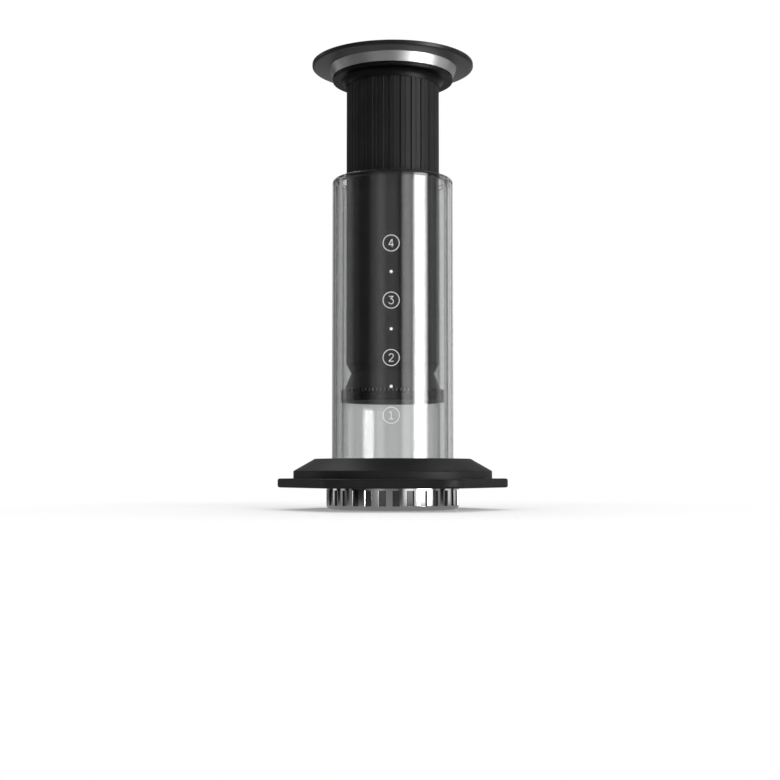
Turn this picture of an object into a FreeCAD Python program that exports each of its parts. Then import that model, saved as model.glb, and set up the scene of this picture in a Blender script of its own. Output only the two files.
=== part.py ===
import FreeCAD, Part
import math
import os

import Sketcher

# Hand press coffee maker, in millimetres.
#
# The press stands on its filter cap: the axis is +Z, the origin is the middle of the cap's foot, and
# the level marks face -Y. Three groups of pieces move against each other:
#   the cap, with the filter disc, stays where it is;
#   the chamber, with its base and marks, turns and climbs out of the cap on four thread lugs;
#   the plunger slides in the chamber.
# Pieces of the chamber are drawn from the chamber's foot, and pieces of the plunger from the
# underside of its seal, so each group is placed by one height.

SIZES = {
    # Filter cap
    "cap_floor": 1.6,            # thickness of the perforated floor
    "cap_wall": 2.1,             # wall between the thread's bore and the crests of the ribs
    "cap_foot_round": 2.5,       # rounding of the foot's corner
    "cap_gap": 0.3,              # gap between the cap's mouth and the roof of its recess
    "cap_recess": 0.5,           # depth of the recess in the base plate that takes the cap's mouth
    "cap_side_gap": 0.5,         # gap round the cap in that recess
    "cap_ribs": 30,              # ribs round the skirt
    "cap_groove_width": 3.3,     # width of the hollow between two ribs
    "cap_groove_depth": 1.1,     # depth of that hollow
    "cap_rib_chamfer": 0.4,      # bevel along the edges of a rib
    "cap_rib_bearing": 8.9,      # degrees from +X to the first hollow
    "cap_ledge": 2.3,            # height of the ledge at the hollow's lower end
    "cap_rim": 1.5,              # plain rim above the ribs
    "hole_r": 0.9,               # drip hole
    "hole_rings": 5,             # rings of drip holes round the middle one
    "hole_ring_pitch": 5.4,      # from one ring of drip holes to the next
    # Filter disc and gasket
    "filter_gap": 0.3,           # from the filter disc's edge to the thread's crests
    "filter_thick": 0.3,
    "gasket_width": 1.3,
    "gasket_height": 1.5,
    "gasket_proud": 0.5,         # how far the gasket stands below the spigot's foot
    "gasket_side_gap": 0.3,      # gap at each side of the gasket in its groove
    # Quick thread between spigot and cap
    "thread_starts": 4,
    "thread_lead": 24.0,         # rise for a full turn
    "thread_arc": 40.0,          # degrees that each lug covers
    "lug_thick": 2.0,            # height of a lug or ramp
    "lug_proud": 1.5,            # how far a lug stands out of the spigot
    "lug_rise": 1.6,             # height of a lug's lower start above the spigot's foot
    "thread_gap": 0.3,           # running gap of the thread, axial and radial
    "thread_root": 0.5,          # how deep a lug or ramp is rooted in its wall
    # Glass chamber
    "bore_r": 28.35,
    "inner_wall": 1.3,
    "air_gap": 1.8,              # between the two walls of glass
    "outer_wall": 1.35,
    "chamber_height": 176.5,     # from the spigot's foot to the rim
    "rim_web": 2.2,              # glass that joins the two walls at the rim
    "rim_round": 1.9,
    "web_round": 0.75,
    # Spigot that holds the glass and carries the thread
    "spigot_wall": 1.85,
    "glass_fit": 0.3,            # gap between the glass and the spigot or hub round it
    "spigot_length": 9.32,       # from the spigot's foot to the base plate
    "ledge_thick": 2.0,          # ledge under the inner wall of glass
    "groove_depth": 1.0,         # gasket groove in the ledge's underside
    "flange_width": 12.2,
    "flange_thick": 2.4,
    "foot_seal_thick": 1.0,
    "wall_seal_thick": 1.0,
    "seal_inset": 0.25,          # the flat seals stand this far back from the edges they lie along
    # Base plate and hub: hexagons with rounded tips, given by where a tip's arc is centred and its radius
    "plate_border": 8.55,        # from the hub's tips out to the plate's tips
    "plate_tip_round": 13.5,
    "plate_thick": 4.84,
    "plate_edge_round": 1.1,
    "hub_tip_centre": 7.55,
    "hub_wall": 2.0,             # how much larger a tip's radius is than the flange's
    "hub_side": 4.0,             # upright side of the hub
    "hub_bevel_height": 6.58,
    "hub_bevel_width": 11.5,
    "hub_edge_round": 0.8,
    "base_fit": 0.1,             # gap round pieces that are screwed together
    "hub_ring_level": 4.2,       # hub seal's height above the hub's shoulder pocket
    "hub_ring_r": 1.0,           # cord radius of the hub seal
    "ring_gap": 0.1,             # gap round a seal in its groove
    # Screws under the base
    "base_screws": 6,
    "base_screw_inset": 4.0,     # from the flange's edge in to the circle of the screws
    "base_screw_r": 1.5,
    "base_screw_head_r": 2.9,
    "base_screw_length": 11.0,
    "base_screw_sunk": 0.3,      # how far the heads lie above the plate's underside
    "screw_gap": 0.1,            # gap round a screw
    "hex_across": 2.0,           # flats of the hexagon socket in a screw's head
    "hex_depth": 1.1,
    # Level marks on the glass
    "mark_thick": 0.1,
    "mark_bearing": 1.5,         # degrees that the marks stand off the front, towards -X
    "mark_first": 46.96,         # height of the lowest ring's centre above the chamber's foot
    "mark_pitch": 29.94,
    "mark_ring_r": 4.22,
    "mark_stroke": 0.32,
    "mark_dot_r": 0.82,
    "digit_height": 3.9,
    "digit_width": 2.4,
    # Plunger seal
    "seal_gap": 0.3,             # running gap between the seal and the bore
    "seal_height": 6.2,
    "seal_floor": 2.0,
    "seal_chamfer": 0.2,
    "seal_teeth": 84,
    "tooth_height": 1.5,
    "tooth_gap_width": 0.9,
    "tooth_depth": 1.1,
    # Seal carrier
    "seal_wall": 2.95,           # the seal's wall outside the carrier's foot flange
    "foot_flange_thick": 1.7,
    "foot_undercut": 2.0,        # how far the seal grips in over the foot flange
    "carrier_rim_inset": 2.05,   # how far the carrier's rim stands in from the seal's edge
    "carrier_rim_height": 0.5,
    "carrier_flare_height": 8.85,
    "carrier_plug_height": 8.2,
    "carrier_wall": 2.8,
    "seam_chamfer": 0.2,         # bevel of the carrier and of the tube along the seam between them
    "carrier_floor": 5.0,
    "carrier_fit": 0.1,          # gap between the carrier's plug and the tube
    "ring_level": 4.0,           # O-ring's height on the plug
    "carrier_ring_r": 0.9,       # cord radius of the O-ring
    "ring_clearance": 0.05,      # gap between the O-ring and the tube
    # Plunger tube
    "tube_r": 25.18,
    "tube_wall": 2.2,
    "neck_narrowing": 2.63,      # how much smaller the neck's radius is than the tube's
    "neck_taper": 5.0,
    "neck_wall": 2.15,
    "land_height": 10.5,
    "tube_length": 156.88,       # from the neck to the collar
    "flute_length": 51.7,        # fluted stretch below the collar
    "flutes": 26,
    "flute_phase": 2.0,          # degrees from the front to the middle of the nearest land, towards +X
    "groove_half_width": 0.42,
    "flute_depth": 0.6,
    "bead_r": 0.4,
    "bead_sunk": 0.22,           # how far a bead's centre lies inside the tube
    # Collar
    "cove_lip": 0.35,            # how far the cove's lower edge stands out from the tube
    "cove_width": 2.85,
    "cove_height": 3.6,
    "collar_overhang": 4.42,     # from the cove's top out to the rim
    "collar_rim": 1.79,
    "shadow_step": 1.2,          # how far the shadow gap goes in behind the collar's rim
    "shadow_gap": 0.36,
    "collar_fit": 0.05,          # gap between the collar and the tube in its slot
    "slot_depth": 4.1,
    "collar_plug": 12.0,         # length of the plug inside the tube
    "collar_plug_wall": 9.85,    # thickness of the plug, which takes the palm screws
    # Trim ring, palm disc and its inlay
    "trim_step": 0.05,           # how far the cone's foot stands out from the collar's rim
    "trim_flare": 2.15,
    "trim_height": 4.75,
    "trim_wall": 1.56,           # the cone's wall at its foot
    "trim_fit": 0.1,
    "disc_overhang": 9.06,       # from the cone's top out to the disc's edge
    "disc_cone": 0.46,           # rise of the disc's underside from the cone to the bevel
    "disc_bevel_width": 1.2,     # bevel at the lower edge of the disc's rim
    "disc_bevel_height": 0.4,
    "disc_edge": 2.09,
    "disc_round": 0.5,
    "inlay_border": 5.76,        # width of the disc's border round the inlay
    "inlay_thick": 1.2,
    "inlay_fit": 0.1,
    "inlay_chamfer": 0.3,
    "palm_screws": 4,
    "palm_screw_r": 1.5,
    "palm_screw_head_r": 2.75,
    "palm_screw_head": 2.0,
    "palm_screw_length": 12.0,
    # Where the plunger stands at rest
    "brew_depth": 55.77,         # from the filter disc up to the plunger's seal
}

doc = FreeCAD.newDocument("press")
sheet = doc.addObject("Spreadsheet::Sheet", "Sizes")


class Size:
    """A value as it is now, with the expression that keeps it tied to the sheet."""

    def __init__(self, value, text):
        self.value = float(value)
        self.text = text

    def __add__(self, other):
        other = as_size(other)
        return Size(self.value + other.value, f"({self.text} + {other.text})")

    def __sub__(self, other):
        other = as_size(other)
        return Size(self.value - other.value, f"({self.text} - {other.text})")

    def __mul__(self, other):
        other = as_size(other)
        return Size(self.value * other.value, f"({self.text} * {other.text})")

    def __truediv__(self, other):
        other = as_size(other)
        return Size(self.value / other.value, f"({self.text} / {other.text})")

    def __neg__(self):
        return Size(-self.value, f"(0 - {self.text})")


def as_size(thing):
    """A plain number as a size."""
    return thing if isinstance(thing, Size) else Size(thing, repr(float(thing)))


def cosine(angle):
    """Cosine of an angle in degrees."""
    angle = as_size(angle)
    return Size(math.cos(math.radians(angle.value)), f"cos({angle.text})")


def sine(angle):
    """Sine of an angle in degrees."""
    angle = as_size(angle)
    return Size(math.sin(math.radians(angle.value)), f"sin({angle.text})")


def fill_sheet():
    """Write the driving sizes into the sheet and return them by name."""
    named = {}
    for row, (name, value) in enumerate(SIZES.items(), start=1):
        sheet.set(f"A{row}", name)
        sheet.set(f"B{row}", str(value))
        sheet.setAlias(f"B{row}", name)
        named[name] = Size(value, f"Sizes.{name}")
    doc.recompute()
    return named


S = fill_sheet()
ZERO = as_size(0)

# Heights and radii that several pieces share
FILTER_TOP = S["cap_floor"] + S["filter_thick"]
CHAMBER_FOOT = FILTER_TOP + S["gasket_proud"]
PLUNGER_FOOT = FILTER_TOP + S["brew_depth"]

SEAT_BORE = S["bore_r"] + S["inner_wall"] + S["glass_fit"]
SPIGOT_R = SEAT_BORE + S["spigot_wall"]
LUG_R = SPIGOT_R + S["lug_proud"]
RAMP_R = SPIGOT_R + S["thread_gap"]
FILTER_R = RAMP_R - S["filter_gap"]
CAP_BORE = LUG_R + S["thread_gap"]
CAP_R = CAP_BORE + S["cap_wall"]
CAP_HEIGHT = CHAMBER_FOOT + S["spigot_length"] + S["cap_recess"] - S["cap_gap"]
LUG_CLIMB = S["thread_lead"] * S["thread_arc"] / 360

GLASS_R = S["bore_r"] + S["inner_wall"] + S["air_gap"] + S["outer_wall"]
PLATE_TOP = S["spigot_length"] + S["plate_thick"]
FLANGE_TOP = PLATE_TOP + S["flange_thick"]
GLASS_FOOT = S["ledge_thick"] + S["foot_seal_thick"]
OUTER_WALL_FOOT = FLANGE_TOP + S["wall_seal_thick"]
HUB_BORE = GLASS_R + S["glass_fit"]
HUB_SHOULDER = PLATE_TOP + S["hub_side"]
HUB_TOP = HUB_SHOULDER + S["hub_bevel_height"]
POCKET_TOP = FLANGE_TOP + S["base_fit"]
HUB_RING = POCKET_TOP + S["hub_ring_level"]
SCREW_FOOT = S["spigot_length"] + S["base_screw_sunk"]
FLANGE_R = SPIGOT_R + S["flange_width"]
SCREW_CIRCLE = FLANGE_R - S["base_screw_inset"]
HUB_TIP_R = FLANGE_R + S["hub_wall"]
PLATE_REACH = S["hub_tip_centre"] + HUB_TIP_R + S["plate_border"]
PLATE_TIP_CENTRE = PLATE_REACH - S["plate_tip_round"]

SEAL_R = S["bore_r"] - S["seal_gap"]
FOOT_FLANGE_R = SEAL_R - S["seal_wall"] - S["carrier_fit"]
FOOT_NECK_R = FOOT_FLANGE_R - S["foot_undercut"]
CARRIER_RIM_R = SEAL_R - S["carrier_rim_inset"]
CARRIER_FOOT = S["seal_floor"]
CARRIER_RIM = S["seal_height"]
CARRIER_FLARE = CARRIER_RIM + S["carrier_rim_height"]
NECK = CARRIER_FLARE + S["carrier_flare_height"]
NECK_R = S["tube_r"] - S["neck_narrowing"]
LAND_R = NECK_R - S["neck_wall"]
PLUG_R = LAND_R - S["carrier_fit"]
TUBE_BORE = S["tube_r"] - S["tube_wall"]
COVE_FOOT_R = S["tube_r"] + S["cove_lip"]
COVE_TOP_R = COVE_FOOT_R + S["cove_width"]
COLLAR_R = COVE_TOP_R + S["collar_overhang"]
COLLAR_PLUG_R = TUBE_BORE - S["collar_fit"]
COLLAR_BORE = COLLAR_PLUG_R - S["collar_plug_wall"]
PALM_SCREW_CIRCLE = (COLLAR_PLUG_R + COLLAR_BORE) / 2
TRIM_FOOT_R = COLLAR_R + S["trim_step"]
TRIM_TOP_R = TRIM_FOOT_R + S["trim_flare"]
TRIM_BORE = TRIM_FOOT_R - S["trim_wall"]
BOSS_R = TRIM_BORE - S["trim_fit"]
DISC_R = TRIM_TOP_R + S["disc_overhang"]
INLAY_ROOM_R = DISC_R - S["inlay_border"]
INLAY_R = INLAY_ROOM_R - S["inlay_fit"]
COLLAR_FOOT = NECK + S["tube_length"]
TUBE_TOP = COLLAR_FOOT + S["slot_depth"]
COVE_TOP = COLLAR_FOOT + S["cove_height"]
COLLAR_RIM_TOP = COVE_TOP + S["collar_rim"]
COLLAR_TOP = COLLAR_RIM_TOP + S["shadow_gap"]
TRIM_TOP = COLLAR_TOP + S["trim_height"]
DISC_BEVEL = TRIM_TOP + S["disc_cone"]
DISC_EDGE = DISC_BEVEL + S["disc_bevel_height"]
DISC_TOP = DISC_EDGE + S["disc_edge"]
INLAY_FOOT = DISC_TOP - S["inlay_thick"]
FLUTE_FOOT = COLLAR_FOOT - S["flute_length"]


def bind(thing, prop, size):
    """Set a property to a size and tie it to the sheet."""
    thing.setExpression(prop, as_size(size).text)


def vector(x, y, z=0):
    return FreeCAD.Vector(as_size(x).value, as_size(y).value, as_size(z).value)


def new_body(name, height=ZERO):
    """An empty body whose own z = 0 stands at the given height."""
    body = doc.addObject("PartDesign::Body", name)
    body.Label = name
    body.AllowCompound = True
    bind(body, "Placement.Base.z", height)
    return body


def own_axis(body):
    """The body's own Z axis, as a reference for turning and patterns."""
    axis = next(item for item in body.Origin.OriginFeatures if item.Role == "Z_Axis")
    return (axis, [""])


def new_sketch(body, name, role, x=None, y=None, off=None):
    """A sketch on one of the body's own planes, shifted within the plane by x and y and off it by off."""
    sketch = body.newObject("Sketcher::SketchObject", name)
    plane = next(item for item in body.Origin.OriginFeatures if item.Role == role)
    sketch.AttachmentSupport = (plane, [""])
    sketch.MapMode = "FlatFace"
    for letter, size in (("x", x), ("y", y), ("z", off)):
        if size is not None:
            bind(sketch, f"AttachmentOffset.Base.{letter}", size)
    return sketch


def fix_number(sketch, constraint, size):
    """Add a dimension to a sketch and tie it to the sheet."""
    index = sketch.addConstraint(constraint)
    bind(sketch, f"Constraints[{index}]", size)


def pin_point(sketch, edge, end, x, y):
    """Hold one end of an edge at x and y in the sketch."""
    x = as_size(x)
    y = as_size(y)
    if x.value:
        fix_number(sketch, Sketcher.Constraint("DistanceX", -1, 1, edge, end, x.value), x)
    else:
        sketch.addConstraint(Sketcher.Constraint("PointOnObject", edge, end, -2))
    if y.value:
        fix_number(sketch, Sketcher.Constraint("DistanceY", -1, 1, edge, end, y.value), y)
    else:
        sketch.addConstraint(Sketcher.Constraint("PointOnObject", edge, end, -1))


def add_cove(sketch, start, end):
    """A hollow arc that leaves start upright and bends out to end; its centre is level with start."""
    width = as_size(end[0]).value - as_size(start[0]).value
    rise = as_size(end[1]).value - as_size(start[1]).value
    radius = (width * width + rise * rise) / (2 * width)
    centre = vector(start[0], start[1]) + FreeCAD.Vector(radius, 0, 0)
    first = math.atan2(rise, width - radius)
    circle = Part.Circle(centre, FreeCAD.Vector(0, 0, 1), radius)
    edge = sketch.addGeometry(Part.ArcOfCircle(circle, first, math.pi), False)
    sketch.addConstraint(Sketcher.Constraint("Horizontal", edge, 3, edge, 2))
    return edge


def draw_outline(sketch, points, cove_to=None):
    """A closed outline of straight edges through the points; the edge that ends at cove_to is a cove."""
    edges = []
    for index, start in enumerate(points):
        end = points[(index + 1) % len(points)]
        if cove_to is not None and end is cove_to:
            edges.append((add_cove(sketch, start, end), 2, 1))
        else:
            edges.append((sketch.addGeometry(Part.LineSegment(vector(*start), vector(*end)), False), 1, 2))
    for index, (edge, first, last) in enumerate(edges):
        following, start_of_following, _ = edges[(index + 1) % len(edges)]
        sketch.addConstraint(Sketcher.Constraint("Coincident", edge, last, following, start_of_following))
        pin_point(sketch, edge, first, *points[index])


def draw_box(sketch, low, high):
    """A rectangle between two opposite corners."""
    draw_outline(sketch, [low, (high[0], low[1]), high, (low[0], high[1])])


def draw_circle(sketch, x, y, radius):
    """A circle about a point."""
    circle = Part.Circle(vector(x, y), FreeCAD.Vector(0, 0, 1), as_size(radius).value)
    edge = sketch.addGeometry(circle, False)
    pin_point(sketch, edge, 3, x, y)
    fix_number(sketch, Sketcher.Constraint("Radius", edge, as_size(radius).value), radius)


def draw_hexagon(sketch, tip_centre, tip_round):
    """A hexagon with round tips, two of them on the X axis; each tip is an arc about tip_centre."""
    arcs = []
    for tip in range(6):
        middle = math.radians(60 * tip)
        circle = Part.Circle(
            vector(tip_centre * cosine(60 * tip), tip_centre * sine(60 * tip)),
            FreeCAD.Vector(0, 0, 1),
            tip_round.value,
        )
        half = math.radians(30)
        edge = sketch.addGeometry(Part.ArcOfCircle(circle, middle - half, middle + half), False)
        pin_point(sketch, edge, 3, tip_centre * cosine(60 * tip), tip_centre * sine(60 * tip))
        fix_number(sketch, Sketcher.Constraint("Radius", edge, tip_round.value), tip_round)
        arcs.append(edge)
    for tip in range(6):
        here = arcs[tip]
        there = arcs[(tip + 1) % 6]
        line = Part.LineSegment(sketch.Geometry[here].EndPoint, sketch.Geometry[there].StartPoint)
        edge = sketch.addGeometry(line, False)
        sketch.addConstraint(Sketcher.Constraint("Tangent", here, 2, edge, 1))
        sketch.addConstraint(Sketcher.Constraint("Tangent", edge, 2, there, 1))


def draw_socket(sketch, across):
    """A regular hexagon by its width across flats."""
    reach = across / cosine(30) / 2
    draw_outline(sketch, [(reach * cosine(60 * tip), reach * sine(60 * tip)) for tip in range(6)])


def turn(body, name, points, cove_to=None, x=None, groove=False):
    """A full turn of an outline about the body's axis, or about a parallel axis at x."""
    sketch = new_sketch(body, f"{name}_profile", "XZ_Plane", x=x)
    draw_outline(sketch, points, cove_to)
    feature = body.newObject("PartDesign::Groove" if groove else "PartDesign::Revolution", name)
    feature.Profile = sketch
    feature.ReferenceAxis = (sketch, ["V_Axis"])
    feature.Angle = 360
    doc.recompute()
    return feature


def turn_cord(body, name, ring_r, level, cord_r, groove=False):
    """A ring of round cord, or a groove for one."""
    sketch = new_sketch(body, f"{name}_profile", "XZ_Plane")
    draw_circle(sketch, ring_r, level, cord_r)
    feature = body.newObject("PartDesign::Groove" if groove else "PartDesign::Revolution", name)
    feature.Profile = sketch
    feature.ReferenceAxis = (sketch, ["V_Axis"])
    feature.Angle = 360
    doc.recompute()
    return feature


def pad(body, name, sketch, length):
    """A pad upwards from a sketch."""
    feature = body.newObject("PartDesign::Pad", name)
    feature.Profile = sketch
    bind(feature, "Length", length)
    doc.recompute()
    return feature


def pocket_up(body, name, sketch, length):
    """A pocket cut upwards from a sketch."""
    feature = body.newObject("PartDesign::Pocket", name)
    feature.Profile = sketch
    feature.Reversed = True
    bind(feature, "Length", length)
    doc.recompute()
    return feature


def pocket_down(body, name, sketch, length):
    """A pocket cut downwards from a sketch."""
    feature = body.newObject("PartDesign::Pocket", name)
    feature.Profile = sketch
    bind(feature, "Length", length)
    doc.recompute()
    return feature


def ring_of(body, name, features, count):
    """Copies of features spread evenly round the body's axis."""
    feature = body.newObject("PartDesign::PolarPattern", name)
    feature.Originals = features
    feature.Axis = own_axis(body)
    feature.Angle = 360
    bind(feature, "Occurrences", count)
    body.Tip = feature
    doc.recompute()
    return feature


def round_edges(body, name, base, radius, wanted):
    """Round the edges of base that wanted picks."""
    feature = body.newObject("PartDesign::Fillet", name)
    edges = [f"Edge{index}" for index, edge in enumerate(base.Shape.Edges, start=1) if wanted(edge)]
    if not edges:
        raise RuntimeError(f"{body.Label}: {name} found no edge")
    feature.Base = (base, edges)
    bind(feature, "Radius", radius)
    doc.recompute()
    return feature


def level_edge(height, least, most=None):
    """Picks edges that lie flat at a height, between two distances from the axis."""
    near = 1e-4

    def wanted(edge):
        box = edge.BoundBox
        if box.ZLength > near or abs(box.ZMin - as_size(height).value) > near:
            return False
        reach = math.hypot(edge.Vertexes[0].X, edge.Vertexes[0].Y)
        if reach < as_size(least).value - near:
            return False
        return most is None or reach < as_size(most).value + near

    return wanted


def helix_lug(body, name, low, high):
    """A thread lug: a rectangle swept up the thread's lead from the +X side."""
    sketch = new_sketch(body, f"{name}_profile", "XZ_Plane")
    draw_box(sketch, low, high)
    feature = body.newObject("PartDesign::AdditiveHelix", name)
    feature.Profile = sketch
    feature.ReferenceAxis = (sketch, ["V_Axis"])
    feature.Mode = "pitch-height-angle"
    bind(feature, "Pitch", S["thread_lead"])
    bind(feature, "Height", LUG_CLIMB)
    doc.recompute()
    return feature


def make_filter_cap():
    """The cap: perforated floor, ribbed skirt, and four ramps inside for the spigot's lugs."""
    body = new_body("filter_cap")
    outline = [
        (ZERO, ZERO),
        (CAP_R, ZERO),
        (CAP_R, CAP_HEIGHT),
        (CAP_BORE, CAP_HEIGHT),
        (CAP_BORE, S["cap_floor"]),
        (ZERO, S["cap_floor"]),
    ]
    shell = turn(body, "cap_shell", outline)
    round_edges(body, "cap_foot", shell, S["cap_foot_round"], level_edge(0, CAP_R))

    sketch = new_sketch(body, "groove_profile", "XY_Plane", off=S["cap_ledge"])
    bind(sketch, "AttachmentOffset.Rotation.Angle", S["cap_rib_bearing"])
    half = S["cap_groove_width"] / 2
    bevel = S["cap_rib_chamfer"]
    draw_outline(sketch, [
        (CAP_R - S["cap_groove_depth"], -half),
        (CAP_R - bevel, -half),
        (CAP_R + bevel, -(half + bevel * 2)),
        (CAP_R + bevel, half + bevel * 2),
        (CAP_R - bevel, half),
        (CAP_R - S["cap_groove_depth"], half),
    ])
    length = CAP_HEIGHT - S["cap_rim"] - S["cap_ledge"]
    groove = pocket_up(body, "groove", sketch, length)
    ring_of(body, "grooves", [groove], S["cap_ribs"])

    foot = CHAMBER_FOOT + S["lug_rise"] + S["lug_thick"] + S["thread_gap"]
    ramp = helix_lug(
        body,
        "ramp",
        (RAMP_R, foot),
        (CAP_BORE + S["thread_root"], foot + S["lug_thick"]),
    )
    ring_of(body, "ramps", [ramp], S["thread_starts"])

    sketch = new_sketch(body, "middle_hole_profile", "XY_Plane")
    draw_circle(sketch, ZERO, ZERO, S["hole_r"])
    pocket_up(body, "middle_hole", sketch, S["cap_floor"])
    for ring in range(1, SIZES["hole_rings"] + 1):
        sketch = new_sketch(body, f"hole_{ring}_profile", "XY_Plane")
        draw_circle(sketch, S["hole_ring_pitch"] * ring, ZERO, S["hole_r"])
        hole = pocket_up(body, f"hole_{ring}", sketch, S["cap_floor"])
        ring_of(body, f"holes_{ring}", [hole], as_size(6 * ring))
    return body


def make_filter_disc():
    """The filter: a thin round sheet on the cap's floor."""
    body = new_body("filter_disc", S["cap_floor"])
    sketch = new_sketch(body, "disc_profile", "XY_Plane")
    draw_circle(sketch, ZERO, ZERO, FILTER_R)
    pad(body, "disc", sketch, S["filter_thick"])
    return body


def make_spigot_gasket():
    """The gasket between the filter disc and the spigot, in the groove of the spigot's foot."""
    body = new_body("spigot_gasket", FILTER_TOP)
    middle = (S["bore_r"] + SPIGOT_R) / 2
    half = S["gasket_width"] / 2
    outline = [
        (middle - half, ZERO),
        (middle + half, ZERO),
        (middle + half, S["gasket_height"]),
        (middle - half, S["gasket_height"]),
    ]
    turn(body, "gasket", outline)
    return body


def make_spigot():
    """The spigot: a flanged sleeve round the foot of the glass, with the ledge, gasket groove and lugs."""
    body = new_body("spigot", CHAMBER_FOOT)
    middle = (S["bore_r"] + SPIGOT_R) / 2
    reach = S["gasket_width"] / 2 + S["gasket_side_gap"]
    outline = [
        (S["bore_r"], ZERO),
        (middle - reach, ZERO),
        (middle - reach, S["groove_depth"]),
        (middle + reach, S["groove_depth"]),
        (middle + reach, ZERO),
        (SPIGOT_R, ZERO),
        (SPIGOT_R, PLATE_TOP),
        (FLANGE_R, PLATE_TOP),
        (FLANGE_R, FLANGE_TOP),
        (SEAT_BORE, FLANGE_TOP),
        (SEAT_BORE, S["ledge_thick"]),
        (S["bore_r"], S["ledge_thick"]),
    ]
    turn(body, "sleeve", outline)
    lug = helix_lug(
        body,
        "lug",
        (SPIGOT_R - S["thread_root"], S["lug_rise"]),
        (LUG_R, S["lug_rise"] + S["lug_thick"]),
    )
    ring_of(body, "lugs", [lug], S["thread_starts"])
    screw_holes(body, PLATE_TOP, S["flange_thick"])
    return body


def screw_holes(body, foot, length):
    """Plain holes for the base screws."""
    sketch = new_sketch(body, "screw_hole_profile", "XY_Plane", off=foot)
    draw_circle(sketch, SCREW_CIRCLE, ZERO, S["base_screw_r"] + S["screw_gap"])
    hole = pocket_up(body, "screw_hole", sketch, length)
    ring_of(body, "screw_holes", [hole], S["base_screws"])


def make_base_plate():
    """The plate that rests on a mug: a hexagon with round tips, with sunk holes for the base screws."""
    body = new_body("base_plate", CHAMBER_FOOT)
    sketch = new_sketch(body, "plate_outline", "XY_Plane", off=S["spigot_length"])
    draw_hexagon(sketch, PLATE_TIP_CENTRE, S["plate_tip_round"])
    draw_circle(sketch, ZERO, ZERO, SPIGOT_R + S["base_fit"])
    plate = pad(body, "plate", sketch, S["plate_thick"])
    def edge_of_plate(edge):
        low = level_edge(S["spigot_length"], PLATE_TIP_CENTRE)
        high = level_edge(PLATE_TOP, PLATE_TIP_CENTRE)
        return low(edge) or high(edge)

    round_edges(body, "plate_edges", plate, S["plate_edge_round"], edge_of_plate)

    sketch = new_sketch(body, "recess_profile", "XY_Plane", off=S["spigot_length"])
    draw_circle(sketch, ZERO, ZERO, CAP_R + S["cap_side_gap"])
    pocket_up(body, "recess", sketch, S["cap_recess"])

    gap = S["screw_gap"]
    shank = S["base_screw_r"] + gap
    head = S["base_screw_head_r"] + gap
    cone_foot = SCREW_FOOT
    cone_top = cone_foot + head - shank
    outline = [
        (ZERO, S["spigot_length"] - 1),
        (head, S["spigot_length"] - 1),
        (head, cone_foot),
        (shank, cone_top),
        (shank, PLATE_TOP + 1),
        (ZERO, PLATE_TOP + 1),
    ]
    hole = turn(body, "sunk_hole", outline, x=SCREW_CIRCLE, groove=True)
    ring_of(body, "sunk_holes", [hole], S["base_screws"])
    return body


def make_base_hub():
    """The hub over the plate: a bevelled hexagon round the glass, with room below for the flange."""
    body = new_body("base_hub", CHAMBER_FOOT)
    sketch = new_sketch(body, "side_outline", "XY_Plane", off=PLATE_TOP)
    draw_hexagon(sketch, S["hub_tip_centre"], HUB_TIP_R)
    pad(body, "side", sketch, S["hub_side"])
    foot = new_sketch(body, "bevel_foot", "XY_Plane", off=HUB_SHOULDER)
    draw_hexagon(foot, S["hub_tip_centre"], HUB_TIP_R)
    top = new_sketch(body, "bevel_top", "XY_Plane", off=HUB_TOP)
    draw_hexagon(top, S["hub_tip_centre"], HUB_TIP_R - S["hub_bevel_width"])
    bevel = body.newObject("PartDesign::AdditiveLoft", "bevel")
    bevel.Profile = foot
    bevel.Sections = [top]
    bevel.Ruled = True
    doc.recompute()

    def edge_of_bevel(edge):
        least = HUB_TIP_R - S["hub_bevel_width"]
        shoulder = level_edge(HUB_SHOULDER, least)
        brim = level_edge(HUB_TOP, least)
        return shoulder(edge) or brim(edge)

    round_edges(body, "bevel_edges", bevel, S["hub_edge_round"], edge_of_bevel)

    sketch = new_sketch(body, "bore_profile", "XY_Plane", off=PLATE_TOP)
    draw_circle(sketch, ZERO, ZERO, HUB_BORE)
    pocket_up(body, "bore", sketch, S["hub_side"] + S["hub_bevel_height"])
    sketch = new_sketch(body, "flange_room_profile", "XY_Plane", off=PLATE_TOP)
    draw_circle(sketch, ZERO, ZERO, FLANGE_R + S["base_fit"])
    pocket_up(body, "flange_room", sketch, S["flange_thick"] + S["base_fit"])
    ring_r = GLASS_R + S["ring_gap"] + S["hub_ring_r"]
    turn_cord(body, "ring_groove", ring_r, HUB_RING, S["hub_ring_r"] + S["ring_gap"], groove=True)
    screw_holes(body, POCKET_TOP, SCREW_FOOT + S["base_screw_length"] - POCKET_TOP + S["screw_gap"])
    return body


def make_base_screws():
    """Countersunk screws through the plate and the flange into the hub."""
    body = new_body("base_screws", CHAMBER_FOOT)
    cone_top = SCREW_FOOT + S["base_screw_head_r"] - S["base_screw_r"]
    outline = [
        (ZERO, SCREW_FOOT),
        (S["base_screw_head_r"], SCREW_FOOT),
        (S["base_screw_r"], cone_top),
        (S["base_screw_r"], SCREW_FOOT + S["base_screw_length"]),
        (ZERO, SCREW_FOOT + S["base_screw_length"]),
    ]
    screw = turn(body, "screw", outline, x=SCREW_CIRCLE)
    sketch = new_sketch(body, "socket_profile", "XY_Plane", x=SCREW_CIRCLE, off=SCREW_FOOT)
    draw_socket(sketch, S["hex_across"])
    socket = pocket_up(body, "socket", sketch, S["hex_depth"])
    ring_of(body, "screws", [screw, socket], S["base_screws"])
    return body


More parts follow.
